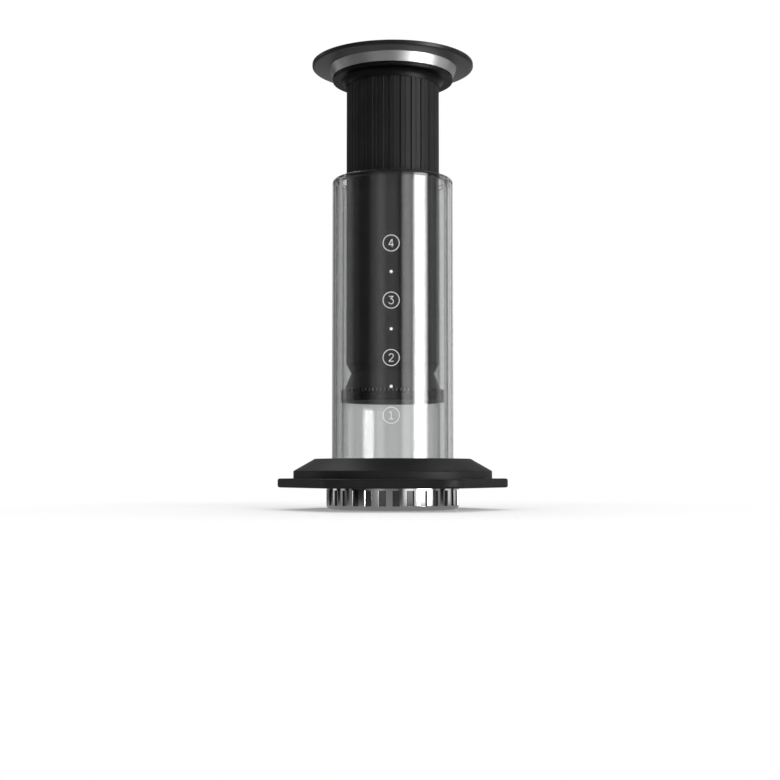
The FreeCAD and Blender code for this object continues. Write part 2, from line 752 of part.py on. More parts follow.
def make_chamber_glass():
    """The chamber: two walls of glass joined at the rim, the inner one running down into the spigot."""
    body = new_body("chamber_glass", CHAMBER_FOOT)
    inner_r = S["bore_r"] + S["inner_wall"]
    outer_r = GLASS_R - S["outer_wall"]
    web = S["chamber_height"] - S["rim_web"]
    outline = [
        (S["bore_r"], GLASS_FOOT),
        (inner_r, GLASS_FOOT),
        (inner_r, web),
        (outer_r, web),
        (outer_r, OUTER_WALL_FOOT),
        (GLASS_R, OUTER_WALL_FOOT),
        (GLASS_R, S["chamber_height"]),
        (S["bore_r"], S["chamber_height"]),
    ]
    walls = turn(body, "walls", outline)
    rim = level_edge(S["chamber_height"], S["bore_r"])
    rounded = round_edges(body, "rim", walls, S["rim_round"], rim)
    round_edges(body, "gap_end", rounded, S["web_round"], level_edge(web, inner_r, outer_r))
    return body


def make_foot_seal():
    """The flat seal under the inner wall of glass."""
    body = new_body("foot_seal", CHAMBER_FOOT)
    outline = [
        (S["bore_r"] + S["seal_inset"], S["ledge_thick"]),
        (S["bore_r"] + S["inner_wall"], S["ledge_thick"]),
        (S["bore_r"] + S["inner_wall"], GLASS_FOOT),
        (S["bore_r"] + S["seal_inset"], GLASS_FOOT),
    ]
    turn(body, "seal", outline)
    return body


def make_wall_seal():
    """The flat seal under the outer wall of glass, which also closes the gap between the walls."""
    body = new_body("wall_seal", CHAMBER_FOOT)
    outline = [
        (SEAT_BORE + S["seal_inset"], FLANGE_TOP),
        (GLASS_R, FLANGE_TOP),
        (GLASS_R, OUTER_WALL_FOOT),
        (SEAT_BORE + S["seal_inset"], OUTER_WALL_FOOT),
    ]
    turn(body, "seal", outline)
    return body


def make_hub_seal():
    """The O-ring that holds the glass in the hub."""
    body = new_body("hub_seal", CHAMBER_FOOT)
    turn_cord(body, "ring", GLASS_R + S["ring_gap"] + S["hub_ring_r"], HUB_RING, S["hub_ring_r"])
    return body


def straight_stroke(edge, width):
    """A flat straight pen stroke with round ends."""
    start = end_of(edge, last=False)
    end = end_of(edge)
    along = (end - start).normalize() * (width / 2)
    side = along.cross(FreeCAD.Vector(0, 1, 0))
    outline = [
        Part.makeLine(start + side, end + side),
        Part.Arc(end + side, end + along, end - side).toShape(),
        Part.makeLine(end - side, start - side),
        Part.Arc(start - side, start - along, start + side).toShape(),
    ]
    return Part.Face(Part.Wire(outline))


def stroke(edges, width):
    """A flat pen stroke of the given width along joined edges, with round ends."""
    if len(edges) == 1:
        return straight_stroke(edges[0], width)
    return Part.Wire(edges).makeOffset2D(width / 2, 0, True, False, False)


def line(x0, z0, x1, z1):
    """A straight pen line in the plane of the marks."""
    return Part.makeLine(FreeCAD.Vector(x0, 0, z0), FreeCAD.Vector(x1, 0, z1))


def arc(x, z, radius, first, last):
    """An arc about x, z from one bearing to another, in degrees from +X towards +Z."""
    ends = []
    for bearing in (first, (first + last) / 2, last):
        turned = math.radians(bearing)
        ends.append(FreeCAD.Vector(x + radius * math.cos(turned), 0, z + radius * math.sin(turned)))
    return Part.Arc(*ends).toShape()


def end_of(edge, last=True):
    """The start or end point of a pen line."""
    return edge.valueAt(edge.LastParameter if last else edge.FirstParameter)


def digit_one(width, height):
    flag = line(-width * 0.42, height * 0.36, 0, height / 2)
    stem = line(0, height / 2, 0, -height / 2)
    return [[flag, stem], [line(-width * 0.42, -height / 2, width * 0.42, -height / 2)]]


def digit_two(width, height):
    bow = width * 0.46
    crown = arc(0, height / 2 - bow, bow, 165, -32)
    tail = end_of(crown)
    slope = line(tail.x, tail.z, -width / 2, -height / 2)
    return [[crown, slope, line(-width / 2, -height / 2, width / 2, -height / 2)]]


def digit_three(width, height):
    bow = width * 0.54
    bowl = arc(-width * 0.04, -height / 2 + bow, bow, 96, -155)
    crest = end_of(bowl, last=False)
    bar = line(-width * 0.46, height / 2, width * 0.42, height / 2)
    return [[bar, line(width * 0.42, height / 2, crest.x, crest.z), bowl]]


def digit_four(width, height):
    slope = line(width * 0.14, height / 2, -width / 2, -height * 0.22)
    stem = line(width * 0.22, height / 2, width * 0.22, -height / 2)
    return [[slope, line(-width / 2, -height * 0.22, width / 2, -height * 0.22)], [stem]]


DIGITS = [digit_one, digit_two, digit_three, digit_four]


def make_level_marks():
    """Raised enamel on the glass: four ringed numbers, with a dot between each two."""
    size = {name: sheet.get(name) for name in SIZES}
    glass_r = sum(size[name] for name in ("bore_r", "inner_wall", "air_gap", "outer_wall"))
    flat = []
    for number, digit in enumerate(DIGITS):
        centre = FreeCAD.Vector(0, 0, size["mark_first"] + number * size["mark_pitch"])
        outer = Part.Circle(centre, FreeCAD.Vector(0, 1, 0), size["mark_ring_r"] + size["mark_stroke"] / 2)
        inner = Part.Circle(centre, FreeCAD.Vector(0, 1, 0), size["mark_ring_r"] - size["mark_stroke"] / 2)
        ring = Part.Face(Part.Wire(outer.toShape()))
        flat.append(ring.cut(Part.Face(Part.Wire(inner.toShape()))))
        pens = digit(size["digit_width"], size["digit_height"])
        strokes = [stroke(edges, size["mark_stroke"]) for edges in pens]
        numeral = strokes[0].fuse(strokes[1:]).removeSplitter() if len(strokes) > 1 else strokes[0]
        numeral.translate(centre)
        flat.append(numeral)
        if number < len(DIGITS) - 1:
            spot = centre + FreeCAD.Vector(0, 0, size["mark_pitch"] / 2)
            dot = Part.Circle(spot, FreeCAD.Vector(0, 1, 0), size["mark_dot_r"])
            flat.append(Part.Face(Part.Wire(dot.toShape())))
    rise = FreeCAD.Vector(0, 0, 1)
    height = size["chamber_height"]
    shell = Part.makeCylinder(glass_r + size["mark_thick"], height).cut(Part.makeCylinder(glass_r, height))
    reach = FreeCAD.Vector(0, -2 * glass_r, 0)
    pieces = [shell.common(face.extrude(reach)) for face in flat]
    marks = doc.addObject("Part::Feature", "level_marks")
    marks.Label = "level_marks"
    marks.Shape = Part.makeCompound([solid for piece in pieces for solid in piece.Solids])
    marks.Placement = FreeCAD.Placement(FreeCAD.Vector(), FreeCAD.Rotation(rise, -size["mark_bearing"]))
    bind(marks, "Placement.Base.z", CHAMBER_FOOT)
    return marks


def make_plunger_seal():
    """The seal: a soft cup stretched over the carrier's foot, with a toothed upper edge."""
    body = new_body("plunger_seal", PLUNGER_FOOT)
    gap = S["carrier_fit"]
    flange_top = S["seal_floor"] + S["foot_flange_thick"] + gap
    outline = [
        (ZERO, ZERO),
        (SEAL_R - S["seal_chamfer"], ZERO),
        (SEAL_R, S["seal_chamfer"]),
        (SEAL_R, S["seal_height"]),
        (FOOT_NECK_R + gap, S["seal_height"]),
        (FOOT_NECK_R + gap, flange_top),
        (FOOT_FLANGE_R + gap, flange_top),
        (FOOT_FLANGE_R + gap, S["seal_floor"]),
        (ZERO, S["seal_floor"]),
    ]
    turn(body, "cup", outline)
    sketch = new_sketch(body, "tooth_gap_profile", "XY_Plane", off=S["seal_height"])
    half = S["tooth_gap_width"] / 2
    draw_box(sketch, (SEAL_R - S["tooth_depth"], -half), (SEAL_R + S["tooth_depth"], half))
    notch = pocket_down(body, "tooth_gap", sketch, S["tooth_height"])
    ring_of(body, "tooth_gaps", [notch], S["seal_teeth"])
    return body


def make_seal_carrier():
    """The carrier: a flared cup that the seal grips below and that plugs into the tube above."""
    body = new_body("seal_carrier", PLUNGER_FOOT)
    flange_top = CARRIER_FOOT + S["foot_flange_thick"]
    plug_top = NECK + S["carrier_plug_height"]
    hollow_r = PLUG_R - S["carrier_wall"]
    seam = S["seam_chamfer"]
    outline = [
        (ZERO, CARRIER_FOOT),
        (FOOT_FLANGE_R, CARRIER_FOOT),
        (FOOT_FLANGE_R, flange_top),
        (FOOT_NECK_R, flange_top),
        (FOOT_NECK_R, CARRIER_RIM),
        (CARRIER_RIM_R, CARRIER_RIM),
        (CARRIER_RIM_R, CARRIER_FLARE),
        (NECK_R, NECK - seam),
        (NECK_R - seam, NECK),
        (PLUG_R, NECK),
        (PLUG_R, plug_top),
        (hollow_r, plug_top),
        (hollow_r, CARRIER_FOOT + S["carrier_floor"]),
        (ZERO, CARRIER_FOOT + S["carrier_floor"]),
    ]
    turn(body, "cup", outline)
    cord = S["carrier_ring_r"]
    ring_r = LAND_R - S["ring_clearance"] - cord
    turn_cord(body, "ring_groove", ring_r, NECK + S["ring_level"], cord + S["ring_gap"], groove=True)
    return body


def make_carrier_ring():
    """The O-ring on the carrier's plug."""
    body = new_body("carrier_ring", PLUNGER_FOOT)
    cord = S["carrier_ring_r"]
    ring_r = LAND_R - S["ring_clearance"] - cord
    turn_cord(body, "ring", ring_r, NECK + S["ring_level"], cord)
    return body


def make_plunger_tube():
    """The tube: smooth below, fluted as a grip under the collar, drawn in to a neck at its lower end."""
    body = new_body("plunger_tube", PLUNGER_FOOT)
    seam = S["seam_chamfer"]
    outline = [
        (LAND_R, NECK),
        (NECK_R - seam, NECK),
        (NECK_R, NECK + seam),
        (S["tube_r"], NECK + S["neck_taper"]),
        (S["tube_r"], TUBE_TOP),
        (TUBE_BORE, TUBE_TOP),
        (TUBE_BORE, NECK + S["land_height"]),
        (LAND_R, NECK + S["land_height"]),
    ]
    turn(body, "wall", outline)

    pitch = as_size(360) / S["flutes"]
    to_groove = S["flute_phase"] + pitch / 2 - 90
    to_bead = S["flute_phase"] - 90
    sketch = new_sketch(body, "flute_profile", "XY_Plane", off=FLUTE_FOOT)
    bind(sketch, "AttachmentOffset.Rotation.Angle", to_groove)
    half = S["groove_half_width"]
    outside = S["tube_r"] + S["flute_depth"]
    draw_outline(sketch, [
        (S["tube_r"] - S["flute_depth"], ZERO),
        (outside, -(half * 2)),
        (outside, half * 2),
    ])
    groove = pocket_up(body, "flute", sketch, TUBE_TOP - FLUTE_FOOT)
    ring_of(body, "flutes", [groove], S["flutes"])

    sketch = new_sketch(body, "bead_profile", "XY_Plane", off=FLUTE_FOOT)
    bind(sketch, "AttachmentOffset.Rotation.Angle", to_bead)
    draw_circle(sketch, S["tube_r"] - S["bead_sunk"], ZERO, S["bead_r"])
    bead = pad(body, "bead", sketch, S["flute_length"])
    ring_of(body, "beads", [bead], S["flutes"])
    return body


def make_neck_collar():
    """The collar: a coved rim outside the tube's top, a slot for the tube, and a plug inside it."""
    body = new_body("neck_collar", PLUNGER_FOOT)
    fit = S["collar_fit"]
    cove_top = (COVE_TOP_R, COVE_TOP)
    outline = [
        (COVE_FOOT_R, COLLAR_FOOT),
        cove_top,
        (COLLAR_R, COVE_TOP),
        (COLLAR_R, COLLAR_RIM_TOP),
        (COLLAR_R - S["shadow_step"], COLLAR_RIM_TOP),
        (COLLAR_R - S["shadow_step"], COLLAR_TOP),
        (COLLAR_BORE, COLLAR_TOP),
        (COLLAR_BORE, TUBE_TOP - S["collar_plug"]),
        (COLLAR_PLUG_R, TUBE_TOP - S["collar_plug"]),
        (COLLAR_PLUG_R, TUBE_TOP),
        (S["tube_r"] + fit, TUBE_TOP),
        (S["tube_r"] + fit, COLLAR_FOOT),
    ]
    turn(body, "collar", outline, cove_to=cove_top)
    depth = S["palm_screw_length"] - (INLAY_FOOT - S["palm_screw_head"] - COLLAR_TOP) + S["screw_gap"]
    palm_screw_hole(body, "thread_hole", COLLAR_TOP, depth, S["palm_screw_r"])
    return body


def palm_screw_hole(body, name, top, depth, radius):
    """Holes for the palm screws, cut down from a level."""
    sketch = new_sketch(body, f"{name}_profile", "XY_Plane", off=top)
    draw_circle(sketch, PALM_SCREW_CIRCLE, ZERO, radius + S["screw_gap"])
    hole = pocket_down(body, name, sketch, depth)
    ring_of(body, f"{name}s", [hole], S["palm_screws"])


def make_trim_ring():
    """The bright cone between the collar and the palm disc."""
    body = new_body("trim_ring", PLUNGER_FOOT)
    outline = [
        (TRIM_BORE, COLLAR_TOP),
        (TRIM_FOOT_R, COLLAR_TOP),
        (TRIM_TOP_R, TRIM_TOP),
        (TRIM_BORE, TRIM_TOP),
    ]
    turn(body, "cone", outline)
    return body


def make_palm_disc():
    """The disc that the palm pushes on, with a boss through the trim ring down to the collar."""
    body = new_body("palm_disc", PLUNGER_FOOT)
    outline = [
        (COLLAR_BORE, COLLAR_TOP),
        (BOSS_R, COLLAR_TOP),
        (BOSS_R, TRIM_TOP),
        (TRIM_TOP_R, TRIM_TOP),
        (DISC_R - S["disc_bevel_width"], DISC_BEVEL),
        (DISC_R, DISC_EDGE),
        (DISC_R, DISC_TOP),
        (INLAY_ROOM_R, DISC_TOP),
        (INLAY_ROOM_R, INLAY_FOOT),
        (ZERO, INLAY_FOOT),
        (ZERO, TRIM_TOP),
        (COLLAR_BORE, TRIM_TOP),
    ]
    disc = turn(body, "disc", outline)

    def edge_of_disc(edge):
        low = level_edge(DISC_EDGE, DISC_R)
        high = level_edge(DISC_TOP, DISC_R)
        return low(edge) or high(edge)

    round_edges(body, "disc_edges", disc, S["disc_round"], edge_of_disc)
    palm_screw_hole(body, "head_hole", INLAY_FOOT, S["palm_screw_head"], S["palm_screw_head_r"])
    palm_screw_hole(body, "shank_hole", INLAY_FOOT, INLAY_FOOT - COLLAR_TOP, S["palm_screw_r"])
    return body


def make_palm_screws():
    """Cap screws that draw the palm disc down onto the collar, under the inlay."""
    body = new_body("palm_screws", PLUNGER_FOOT)
    head_foot = INLAY_FOOT - S["palm_screw_head"]
    outline = [
        (ZERO, head_foot - S["palm_screw_length"]),
        (S["palm_screw_r"], head_foot - S["palm_screw_length"]),
        (S["palm_screw_r"], head_foot),
        (S["palm_screw_head_r"], head_foot),
        (S["palm_screw_head_r"], INLAY_FOOT),
        (ZERO, INLAY_FOOT),
    ]
    screw = turn(body, "screw", outline, x=PALM_SCREW_CIRCLE)
    sketch = new_sketch(body, "socket_profile", "XY_Plane", x=PALM_SCREW_CIRCLE, off=INLAY_FOOT)
    draw_socket(sketch, S["hex_across"])
    socket = pocket_down(body, "socket", sketch, S["hex_depth"])
    ring_of(body, "screws", [screw, socket], S["palm_screws"])
    return body


def make_top_inlay():
    """The round pad in the disc's top, which hides the screws."""
    body = new_body("top_inlay", PLUNGER_FOOT)
    outline = [
        (ZERO, INLAY_FOOT),
        (INLAY_R, INLAY_FOOT),
        (INLAY_R, DISC_TOP - S["inlay_chamfer"]),
        (INLAY_R - S["inlay_chamfer"], DISC_TOP),
        (ZERO, DISC_TOP),
    ]
    turn(body, "pad", outline)
    return body


def check_document():
    """Stop if a feature failed or a cut removed nothing."""
    cuts = ("PartDesign::Pocket", "PartDesign::Groove")
    for thing in doc.Objects:
        if "Invalid" in thing.State or "Error" in thing.State:
            raise RuntimeError(f"{thing.Label}: {thing.State}")
        if thing.TypeId in cuts and thing.Shape.Volume > thing.BaseFeature.Shape.Volume - 1e-3:
            raise RuntimeError(f"{thing.Label} cuts nothing")


def export(piece):
    """Write one piece to its own file."""
    shape = piece.Shape
    if shape.isNull() or not shape.isValid() or not shape.Solids:
        raise RuntimeError(f"{piece.Label} has no valid solid")
    shape.exportStep(os.path.join("parts", f"{piece.Label}.step"))
    box = shape.BoundBox
    print(
        f"{piece.Label}: {len(shape.Solids)} solid(s), {shape.Volume:.1f} mm3, "
        f"z {box.ZMin:.2f} to {box.ZMax:.2f}, x {box.XMin:.2f} to {box.XMax:.2f}"
    )


def main():
    pieces = [
        make_filter_cap(),
        make_filter_disc(),
        make_spigot_gasket(),
        make_spigot(),
        make_base_plate(),
        make_base_hub(),
        make_base_screws(),
        make_foot_seal(),
        make_wall_seal(),
        make_hub_seal(),
        make_chamber_glass(),
        make_level_marks(),
        make_plunger_seal(),
        make_seal_carrier(),
        make_carrier_ring(),
        make_plunger_tube(),
        make_neck_collar(),
        make_trim_ring(),
        make_palm_disc(),
        make_palm_screws(),
        make_top_inlay(),
    ]
    doc.recompute()
    check_document()
    os.makedirs("parts", exist_ok=True)
    for piece in pieces:
        export(piece)


main()
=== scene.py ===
import math

import bmesh
import bpy
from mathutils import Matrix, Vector

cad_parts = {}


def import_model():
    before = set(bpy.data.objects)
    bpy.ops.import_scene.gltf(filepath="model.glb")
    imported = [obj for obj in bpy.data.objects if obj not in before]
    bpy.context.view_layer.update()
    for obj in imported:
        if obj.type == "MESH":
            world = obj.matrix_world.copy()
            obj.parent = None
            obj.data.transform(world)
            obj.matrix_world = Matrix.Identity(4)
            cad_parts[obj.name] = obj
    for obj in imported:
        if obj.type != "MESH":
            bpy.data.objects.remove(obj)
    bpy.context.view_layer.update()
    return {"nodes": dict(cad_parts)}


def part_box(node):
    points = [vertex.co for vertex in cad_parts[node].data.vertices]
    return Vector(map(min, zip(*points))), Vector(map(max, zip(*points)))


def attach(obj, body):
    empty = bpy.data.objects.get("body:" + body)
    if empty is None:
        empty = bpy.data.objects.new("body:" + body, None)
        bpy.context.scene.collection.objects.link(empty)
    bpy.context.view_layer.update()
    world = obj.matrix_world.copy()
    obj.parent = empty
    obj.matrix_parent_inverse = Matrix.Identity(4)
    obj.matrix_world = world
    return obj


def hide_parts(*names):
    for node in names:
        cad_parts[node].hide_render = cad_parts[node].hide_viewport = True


# Looks of the hand press coffee maker, in metres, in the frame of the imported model: the axis is +Z,
# the level marks face -Y, and the filter cap's foot is at z = 0.

MM = 0.001
FLAT = (1, 1, 0)  # keeps a vector's level part

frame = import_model()


def grey(tone):
    """An even grey as a colour with its alpha."""
    return (tone, tone, tone, 1)


# Node helpers


class Tree:
    """The nodes of a material or a world, with short calls for the arithmetic between them."""

    def __init__(self, owner):
        owner.use_nodes = True
        self.nodes = owner.node_tree.nodes
        self.links = owner.node_tree.links

    def node(self, kind, inputs=None, **settings):
        """A node of this kind, with settings, and inputs that are set to values or linked."""
        node = self.nodes.new(kind)
        for name, value in settings.items():
            setattr(node, name, value)
        for key, value in (inputs or {}).items():
            if isinstance(value, bpy.types.NodeSocket):
                self.links.new(value, node.inputs[key])
            else:
                node.inputs[key].default_value = value
        return node

    def vector(self, operation, *inputs):
        """The first result of this operation on vectors."""
        made = self.node("ShaderNodeVectorMath", dict(enumerate(inputs)), operation=operation)
        return made.outputs[0]

    def length(self, vector):
        return self.node("ShaderNodeVectorMath", {0: vector}, operation="LENGTH").outputs["Value"]

    def maths(self, operation, a, b):
        """The result of this operation on two numbers."""
        return self.node("ShaderNodeMath", {0: a, 1: b}, operation=operation).outputs[0]

    def split(self, vector):
        """The three parts of a vector."""
        return self.node("ShaderNodeSeparateXYZ", {0: vector}).outputs


class Shader(Tree):
    """A material with one Principled shader, and short calls for what feeds it."""

    def __init__(self, name, **sockets):
        self.material = bpy.data.materials.new(name)
        super().__init__(self.material)
        self.main = self.nodes["Principled BSDF"]
        for socket, value in sockets.items():
            self.main.inputs[socket.replace("_", " ")].default_value = value

    def feed(self, socket, output):
        self.links.new(output, self.main.inputs[socket])

    def place(self):
        """Where a point is on the object, in metres."""
        return self.node("ShaderNodeTexCoord").outputs["Object"]

    def stretched(self, scale):
        """The place, scaled by another amount along each axis."""
        return self.vector("MULTIPLY", self.place(), scale)

    def turned(self, scale):
        """The distance from the upright axis and the height, both scaled."""
        reach = self.length(self.stretched(FLAT))
        height = self.split(self.place())[2]
        joined = self.node("ShaderNodeCombineXYZ", {0: reach, 2: height})
        return self.vector("MULTIPLY", joined.outputs[0], (scale,) * 3)

    def noise(self, vector, scale=1.0, detail=2.0, roughness=0.5):
        inputs = {"Vector": vector, "Scale": scale, "Detail": detail, "Roughness": roughness}
        return self.node("ShaderNodeTexNoise", inputs).outputs["Fac"]

    def between(self, value, low, high, start=0.3, end=0.7):
        """A value between low and high as the input goes from start to end."""
        inputs = {"Value": value, "From Min": start, "From Max": end, "To Min": low, "To Max": high}
        return self.node("ShaderNodeMapRange", inputs).outputs["Result"]

    def colours(self, factor, a, b):
        """Colour a where the factor is 0 and colour b where it is 1."""
        made = self.node("ShaderNodeMix", {"Factor": factor, 6: a, 7: b}, data_type="RGBA")
        return made.outputs[2]

    def tint(self, value, low, high):
        """A colour between low and high, that follows the input."""
        return self.colours(self.between(value, 0, 1), (*low, 1), (*high, 1))

    def painted_hollow(self, colour, radius, foot, head, painted_tone):
        """The colour, with a painted tone of light or shade inside a radius between two heights, all
        in millimetres.
        """
        reach = self.length(self.stretched(FLAT))
        height = self.split(self.place())[2]
        inside = self.between(reach, 1, 0, radius * MM, (radius + 0.2) * MM)
        above = self.between(height, 0, 1, foot * MM, (foot + 0.1) * MM)
        under = self.between(height, 1, 0, (head - 0.1) * MM, head * MM)
        painted_mask = self.maths("MULTIPLY", self.maths("MULTIPLY", inside, above), under)
        return self.colours(painted_mask, colour, grey(painted_tone))

    def grain_round_axis(self):
        """Turns the direction of a brushed shine to run round the upright axis."""
        tangent = self.node("ShaderNodeTangent", direction_type="RADIAL", axis="Z")
        self.feed("Tangent", tangent.outputs[0])

    def bump(self, height, strength, distance, under=None):
        inputs = {"Height": height, "Strength": strength, "Distance": distance}
        if under is not None:
            inputs["Normal"] = under
        return self.node("ShaderNodeBump", inputs).outputs["Normal"]


# Materials


def anodised(name, grain, low=0.006, high=0.009, rough=(0.53, 0.62), specular=0.3, below=None,
             tone_below=0.016):
    """Black anodised aluminium, turned or drawn; below a height it takes the paler tone_below."""
    shader = Shader(name, Specular_IOR_Level=specular)
    place = shader.place()
    cloud = shader.noise(place, 90, 3)
    colour = shader.tint(cloud, (low, low, low * 1.12), (high, high, high * 1.1))
    if below is not None:
        pale = shader.between(shader.split(place)[2], 1, 0, below - 0.3 * MM, below)
        colour = shader.colours(pale, colour, grey(tone_below))
    shader.feed("Base Color", colour)
    if grain == "drawn":
        lines = shader.noise(shader.stretched((4200, 4200, 60)), 1, 2)
    else:
        lines = shader.noise(shader.turned(3800), 1, 2)
    blast = shader.noise(place, 5200, 2)
    shader.feed("Roughness", shader.between(lines, *rough))
    under = shader.bump(blast, 0.10, 0.02 * MM)
    shader.feed("Normal", shader.bump(lines, 0.12, 0.02 * MM, under))
    return shader.material


def moulded(name, low, high, rough=(0.46, 0.58), grain=0.25, specular=0.4):
    """Moulded black plastic with a fine spark-eroded grain and faint flow clouds."""
    shader = Shader(name, Specular_IOR_Level=specular, IOR=1.5)
    place = shader.place()
    cloud = shader.noise(place, 60, 3)
    shader.feed("Base Color", shader.tint(cloud, (low,) * 3, (high, high, high * 1.05)))
    pits = shader.noise(place, 2600, 3, 0.6)
    shader.feed("Roughness", shader.between(pits, *rough))
    coarse = shader.noise(place, 650, 2)
    under = shader.bump(coarse, grain * 0.5, 0.05 * MM)
    shader.feed("Normal", shader.bump(pits, grain, 0.05 * MM, under))
    return shader.material


def rubber(name, low, high, specular=0.25, painted_hollow=None):
    """Soft black silicone with a dusty sheen; painted_hollow says where its hollows lie, and the
    light or shade painted in them.
    """
    shader = Shader(name, Specular_IOR_Level=specular, IOR=1.43, Sheen_Weight=0.02,
                    Sheen_Roughness=0.5)
    place = shader.place()
    cloud = shader.noise(place, 150, 4)
    colour = shader.tint(cloud, (low,) * 3, (high,) * 3)
    if painted_hollow is not None:
        colour = shader.painted_hollow(colour, *painted_hollow)
    shader.feed("Base Color", colour)
    skin = shader.noise(place, 1800, 3, 0.6)
    shader.feed("Roughness", shader.between(skin, 0.52, 0.66))
    shader.feed("Normal", shader.bump(skin, 0.18, 0.04 * MM))
    return shader.material


def metal(name, low, high, rough, grain=0.1, anisotropic=0.0, painted_hollow=None):
    """Bare metal with fine turning marks; painted_hollow says where its hollows lie, and the light or
    shade painted in them.
    """
    shader = Shader(name, Metallic=1.0, Anisotropic=anisotropic, Anisotropic_Rotation=0.25)
    marks = shader.noise(shader.turned(3000), 1, 3, 0.6)
    cloud = shader.noise(shader.place(), 70, 2)
    colour = shader.tint(cloud, low, high)
    if painted_hollow is not None:
        colour = shader.painted_hollow(colour, *painted_hollow)
    shader.feed("Base Color", colour)
    shader.feed("Roughness", shader.between(marks, *rough))
    shader.feed("Normal", shader.bump(marks, grain, 0.02 * MM))
    if anisotropic:
        shader.grain_round_axis()
    return shader.material


def glass(name):
    """Clear borosilicate glass, faintly grey, with a trace of handling."""
    shader = Shader(name, Transmission_Weight=0.9975, IOR=1.47)
    shader.main.inputs["Base Color"].default_value = (0.948, 0.952, 0.952, 1)
    smear = shader.noise(shader.place(), 45, 4, 0.6)
    shader.feed("Roughness", shader.between(smear, 0.0, 0.004, 0.55, 0.85))
    return shader.material


def enamel(name):
    """White enamel fired onto the glass, with a slightly uneven skin."""
    shader = Shader(name, Specular_IOR_Level=0.4, IOR=1.5, Coat_Weight=0.2, Coat_Roughness=0.3)
    cloud = shader.noise(shader.place(), 1500, 3)
    shader.feed("Base Color", shader.tint(cloud, (0.95, 0.95, 0.95), (0.99, 0.99, 0.99)))
    shader.feed("Roughness", shader.between(cloud, 0.35, 0.5))
    shader.feed("Normal", shader.bump(cloud, 0.2, 0.02 * MM))
    return shader.material


def paper(name):
    """Filter paper: matte, off-white, with matted fibres."""
    shader = Shader(name, Specular_IOR_Level=0.1, Roughness=0.95)
    place = shader.place()
    fibres = shader.noise(place, 1100, 6, 0.75)
    shader.feed("Base Color", shader.tint(fibres, (0.70, 0.66, 0.58), (0.82, 0.79, 0.72)))
    shader.feed("Normal", shader.bump(fibres, 0.5, 0.12 * MM))
    return shader.material


# Glass chamber


def fillet(corner, before, after, radius, steps=10):
    """Points of a rounding at a corner between two neighbouring points of an outline."""
    corner, before, after = Vector(corner), Vector(before), Vector(after)
    start = corner + (before - corner).normalized() * radius
    end = corner + (after - corner).normalized() * radius
    centre = start + (after - corner).normalized() * radius
    first = start - centre
    last = end - centre
    points = []
    for step in range(steps + 1):
        turn = math.pi / 2 * step / steps
        points.append(tuple(centre + first * math.cos(turn) + last * math.sin(turn)))
    return points


def lathe(name, outline, segments, sharp=math.radians(35)):
    """A closed body turned from a closed outline of (radius, height) points in millimetres.

    It is smooth, apart from corners of the outline that turn by more than the sharp angle.
    """
    mesh = bpy.data.meshes.new(name)
    made = bmesh.new()
    rings = []
    for segment in range(segments):
        angle = 2 * math.pi * segment / segments
        across, along = math.cos(angle) * MM, math.sin(angle) * MM
        rings.append([made.verts.new((r * across, r * along, z * MM)) for r, z in outline])
    count = len(outline)
    for segment, ring in enumerate(rings):
        following = rings[(segment + 1) % segments]
        for point in range(count):
            other = (point + 1) % count
            face = made.faces.new((ring[point], following[point], following[other], ring[other]))
            face.smooth = True
    for point in range(count):
        here = Vector(outline[point])
        into = here - Vector(outline[point - 1])
        out = Vector(outline[(point + 1) % count]) - here
        if into.angle(out) > sharp:
            for segment, ring in enumerate(rings):
                following = rings[(segment + 1) % segments]
                made.edges.get((ring[point], following[point])).smooth = False
    bmesh.ops.recalc_face_normals(made, faces=made.faces)
    made.to_mesh(mesh)
    made.free()
    body = bpy.data.objects.new(name, mesh)
    bpy.context.collection.objects.link(body)
    return body


BORE_R = 28.35
INNER_WALL = 1.3
OUTER_WALL = 1.35
RIM_WEB = 2.2      # glass that joins the two walls at the rim
RIM_ROUND = 1.9
WEB_ROUND = 0.75
BOX_SLACK = 0.004  # keeps the walls inside the model's box
SEGMENTS = 288


def chamber_glass():
    """The double wall as one smooth turned body: inner wall, rim, outer wall, open gap below."""
    low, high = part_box("chamber_glass")
    outer = high.x / MM - BOX_SLACK
    rim = high.z / MM
    foot = low.z / MM
    inner = BORE_R + INNER_WALL
    gap_outer = outer - OUTER_WALL
    outer_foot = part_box("wall_seal")[1].z / MM
    web = rim - RIM_WEB
    corners = [
        (BORE_R, foot, 0),
        (BORE_R, rim, RIM_ROUND),
        (outer, rim, RIM_ROUND),
        (outer, outer_foot, 0),
        (gap_outer, outer_foot, 0),
        (gap_outer, web, WEB_ROUND),
        (inner, web, WEB_ROUND),
        (inner, foot, 0),
    ]
    outline = []
    for index, (r, z, radius) in enumerate(corners):
        before = corners[index - 1][:2]
        after = corners[(index + 1) % len(corners)][:2]
        outline += fillet((r, z), before, after, radius) if radius else [(r, z)]
    return lathe("chamber_glass_walls", outline, SEGMENTS)


# Stage


SOFTBOX_SIDE = 1.2
SOFTBOX_AIM = (0, 0, 0.13)


def softbox(name, azimuth, distance, height, radiance):
    """A square light that faces the press, for matte surfaces only: gloss sees the panels."""
    data = bpy.data.lights.new(name, "AREA")
    data.shape = "RECTANGLE"
    data.size = SOFTBOX_SIDE
    data.size_y = SOFTBOX_SIDE
    data.energy = radiance * math.pi * SOFTBOX_SIDE**2
    light = bpy.data.objects.new(name, data)
    turn = math.radians(azimuth)
    light.location = (distance * math.sin(turn), -distance * math.cos(turn), height)
    aim = Vector(SOFTBOX_AIM) - light.location
    light.rotation_euler = aim.to_track_quat("-Z", "Y").to_euler()
    light.visible_camera = False
    light.visible_glossy = False
    light.visible_transmission = False
    bpy.context.collection.objects.link(light)


